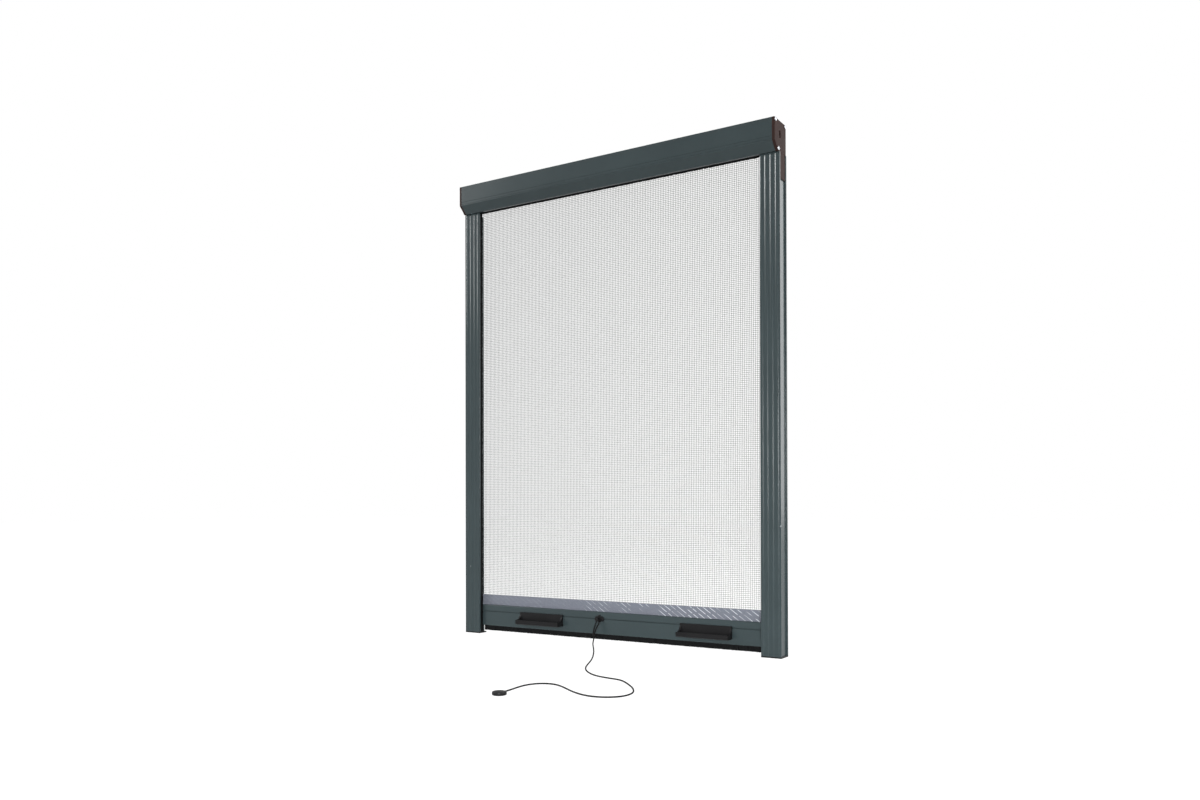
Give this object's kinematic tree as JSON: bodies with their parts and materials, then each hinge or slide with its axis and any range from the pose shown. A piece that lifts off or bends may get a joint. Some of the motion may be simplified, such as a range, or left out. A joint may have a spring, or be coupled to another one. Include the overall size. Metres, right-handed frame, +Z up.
{
  "type": "roller insect screen",
  "caption": "Vertical roller insect screen for a window, with head cassette, guide channels, net, bottom bar, finger grips and pull cord.",
  "frame": {"origin": "under the middle of the frame, at the level of its feet, halfway through the cassette's depth", "axes": "+Z up, +X to the right seen from the room side with the grips, +Y away from the viewer"},
  "size_m": [0.6, 0.482, 0.8],
  "materials": {
    "powder_coat": "satin",
    "cap_plastic": "matte",
    "black_plastic": "satin",
    "inner_plastic": "satin",
    "raw_aluminium": "satin",
    "steel": "satin",
    "pile": "matte",
    "net": "matte",
    "tape": "satin",
    "cord": "matte"
  },
  "bodies": {
    "frame": {"cassette_box": "powder_coat", "end_cap_left": "cap_plastic", "end_cap_right": "cap_plastic", "cap_screws": "steel", "cassette_brush": "pile", "guide_left": "powder_coat", "guide_right": "powder_coat", "guide_brush_front_left": "pile", "guide_brush_front_right": "pile", "guide_brush_rear_left": "pile", "guide_brush_rear_right": "pile", "foot_left": "black_plastic", "foot_right": "black_plastic", "spring_shaft": "steel", "spring_anchor": "inner_plastic", "torsion_spring": "steel", "insect_net": "net"},
    "roller": {"roller_tube": "raw_aluminium", "top_keder": "inner_plastic", "net_roll": "net", "spring_plug": "inner_plastic", "idle_plug": "inner_plastic", "idle_pin": "steel"},
    "bar": {"bottom_bar": "powder_coat", "bottom_keder": "inner_plastic", "hem_strip": "tape", "bar_brush": "pile", "bar_slider_left": "black_plastic", "bar_slider_right": "black_plastic", "finger_grip_left": "black_plastic", "finger_grip_right": "black_plastic", "cord_clip": "black_plastic", "cord_loop": "cord", "pull_cord": "cord", "cord_pull": "black_plastic"}
  },
  "joints": [
    {"name": "bar_lift", "type": "slide", "parent": "frame", "child": "bar", "axis": [0, 0, 1], "range_m": [0, 0.7], "deforming": ["insect_net"]},
    {"name": "roller_spin", "type": "hinge", "parent": "frame", "child": "roller", "pos_m": [0, -0.002, 0.7775], "axis": [1, 0, 0], "range_deg": [0, 3240]}
  ],
  "couplings": [
    {"joint": "roller_spin", "follows": "bar_lift", "rad_per_m": 80.7}
  ]
}
